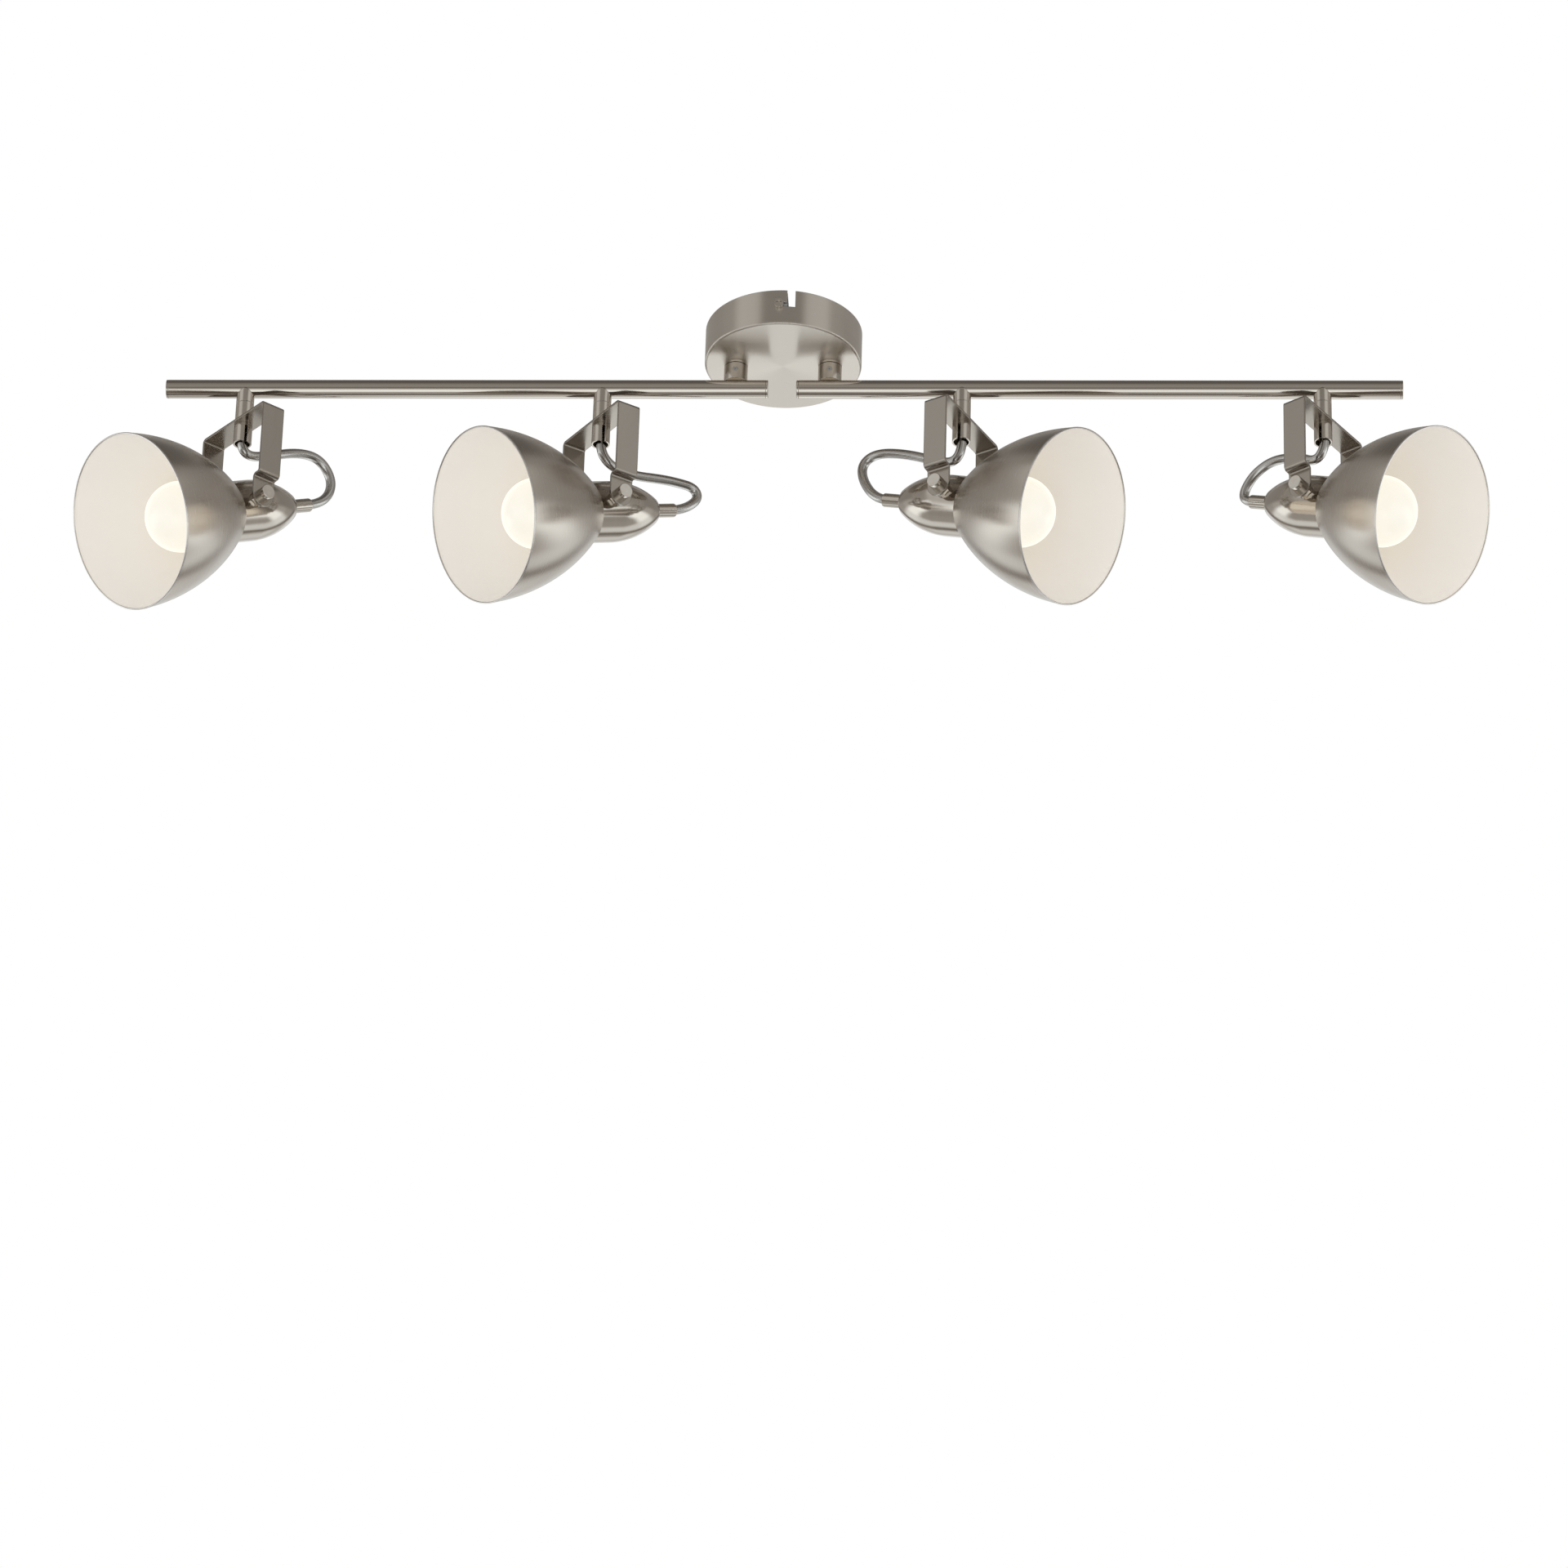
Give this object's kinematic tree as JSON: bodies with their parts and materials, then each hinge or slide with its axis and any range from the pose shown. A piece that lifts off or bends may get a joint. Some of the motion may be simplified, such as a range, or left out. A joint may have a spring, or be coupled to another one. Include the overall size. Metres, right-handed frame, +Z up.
{
  "type": "ceiling spotlight bar",
  "caption": "Ceiling spot bar: round canopy cup, swivelling tubes on stems and tilting bell-shade spot heads on U-brackets with braided cables.",
  "frame": {"origin": "centre of the ceiling plane, on the top face of the ceiling bracket, midway between its two screw slots", "axes": "+Z up into the ceiling, +X along the two tubes to the right, the front of the lamp towards -Y"},
  "size_m": [0.8895, 0.1514, 0.2222],
  "materials": {
    "nickel_satin": "satin brushed nickel plate",
    "nickel_polished": "polished nickel plate",
    "shade_sheet": "spun steel, satin nickel outside and white lacquer inside",
    "zinc_steel": "zinc plated steel",
    "white_plastic": "moulded white plastic",
    "holder_plastic": "moulded heat-proof plastic",
    "lead_insulation": "smooth insulated lead",
    "braided_cable": "grey braided sleeve over a lead",
    "opal_glass": "opal glass, lit"
  },
  "bodies": {
    "canopy": {"canopy_cup": "nickel_satin", "ceiling_bracket": "zinc_steel", "canopy_screws": "nickel_polished", "terminal_block": "white_plastic", "stem_studs": "nickel_polished", "stem_washers": "zinc_steel", "stem_nuts": "zinc_steel", "canopy_leads": "lead_insulation"},
    "arm_left": {"bar_left": "nickel_satin", "stem_sleeve_left": "nickel_satin", "stem_set_screw_left": "zinc_steel", "bar_plugs_left": "nickel_polished", "head_stubs_left": "nickel_satin", "bar_lead_left": "lead_insulation"},
    "arm_right": {"bar_right": "nickel_satin", "stem_sleeve_right": "nickel_satin", "stem_set_screw_right": "zinc_steel", "bar_plugs_right": "nickel_polished", "head_stubs_right": "nickel_satin", "bar_lead_right": "lead_insulation"},
    "bracket_outer_left": {"swivel_barrel_outer_left": "nickel_satin", "u_bracket_outer_left": "nickel_satin", "cable_clamp_outer_left": "nickel_satin", "cable_outer_left": "braided_cable"},
    "head_outer_left": {"head_screws_outer_left": "nickel_polished", "housing_outer_left": "nickel_satin", "shade_outer_left": "shade_sheet", "lampholder_outer_left": "holder_plastic", "bulb_outer_left": "opal_glass", "cable_gland_outer_left": "nickel_satin"},
    "bracket_inner_left": {"swivel_barrel_inner_left": "nickel_satin", "u_bracket_inner_left": "nickel_satin", "cable_clamp_inner_left": "nickel_satin", "cable_inner_left": "braided_cable"},
    "head_inner_left": {"head_screws_inner_left": "nickel_polished", "housing_inner_left": "nickel_satin", "shade_inner_left": "shade_sheet", "lampholder_inner_left": "holder_plastic", "bulb_inner_left": "opal_glass", "cable_gland_inner_left": "nickel_satin"},
    "bracket_inner_right": {"swivel_barrel_inner_right": "nickel_satin", "u_bracket_inner_right": "nickel_satin", "cable_clamp_inner_right": "nickel_satin", "cable_inner_right": "braided_cable"},
    "head_inner_right": {"head_screws_inner_right": "nickel_polished", "housing_inner_right": "nickel_satin", "shade_inner_right": "shade_sheet", "lampholder_inner_right": "holder_plastic", "bulb_inner_right": "opal_glass", "cable_gland_inner_right": "nickel_satin"},
    "bracket_outer_right": {"swivel_barrel_outer_right": "nickel_satin", "u_bracket_outer_right": "nickel_satin", "cable_clamp_outer_right": "nickel_satin", "cable_outer_right": "braided_cable"},
    "head_outer_right": {"head_screws_outer_right": "nickel_polished", "housing_outer_right": "nickel_satin", "shade_outer_right": "shade_sheet", "lampholder_outer_right": "holder_plastic", "bulb_outer_right": "opal_glass", "cable_gland_outer_right": "nickel_satin"}
  },
  "joints": [
    {"name": "arm_left_swivel", "type": "hinge", "parent": "canopy", "child": "arm_left", "pos_m": [-0.03, 0, -0.0425], "axis": [0, 0, 1], "range_deg": [-25, 25]},
    {"name": "arm_right_swivel", "type": "hinge", "parent": "canopy", "child": "arm_right", "pos_m": [0.03, 0, -0.0425], "axis": [0, 0, 1], "range_deg": [-25, 25]},
    {"name": "bracket_outer_left_pan", "type": "hinge", "parent": "arm_left", "child": "bracket_outer_left", "pos_m": [-0.343, 0, -0.0425], "axis": [0, -0.0262, 0.9997], "range_deg": [-165, 165]},
    {"name": "head_outer_left_tilt", "type": "hinge", "parent": "bracket_outer_left", "child": "head_outer_left", "pos_m": [-0.343, 0.00237, -0.13297], "axis": [0.6665, -0.7452, -0.0195], "range_deg": [-37.6, 39.4], "deforming": ["cable_outer_left"]},
    {"name": "bracket_inner_left_pan", "type": "hinge", "parent": "arm_left", "child": "bracket_inner_left", "pos_m": [-0.1145, 0, -0.0425], "axis": [0, -0.0262, 0.9997], "range_deg": [-165, 165]},
    {"name": "head_inner_left_tilt", "type": "hinge", "parent": "bracket_inner_left", "child": "head_inner_left", "pos_m": [-0.1145, 0.00237, -0.13297], "axis": [0.585, -0.8108, -0.0212], "range_deg": [-32.1, 44.9], "deforming": ["cable_inner_left"]},
    {"name": "bracket_inner_right_pan", "type": "hinge", "parent": "arm_right", "child": "bracket_inner_right", "pos_m": [0.1145, 0, -0.0425], "axis": [0, 0.0523, 0.9986], "range_deg": [-165, 165]},
    {"name": "head_inner_right_tilt", "type": "hinge", "parent": "bracket_inner_right", "child": "head_inner_right", "pos_m": [0.1145, -0.00474, -0.13288], "axis": [0.4787, 0.8768, -0.0459], "range_deg": [-34.9, 42.1], "deforming": ["cable_inner_right"]},
    {"name": "bracket_outer_right_pan", "type": "hinge", "parent": "arm_right", "child": "bracket_outer_right", "pos_m": [0.343, 0, -0.0425], "axis": [0, 0.0523, 0.9986], "range_deg": [-165, 165]},
    {"name": "head_outer_right_tilt", "type": "hinge", "parent": "bracket_outer_right", "child": "head_outer_right", "pos_m": [0.343, -0.00474, -0.13288], "axis": [0.5693, 0.821, -0.043], "range_deg": [-37.2, 39.8], "deforming": ["cable_outer_right"]}
  ]
}
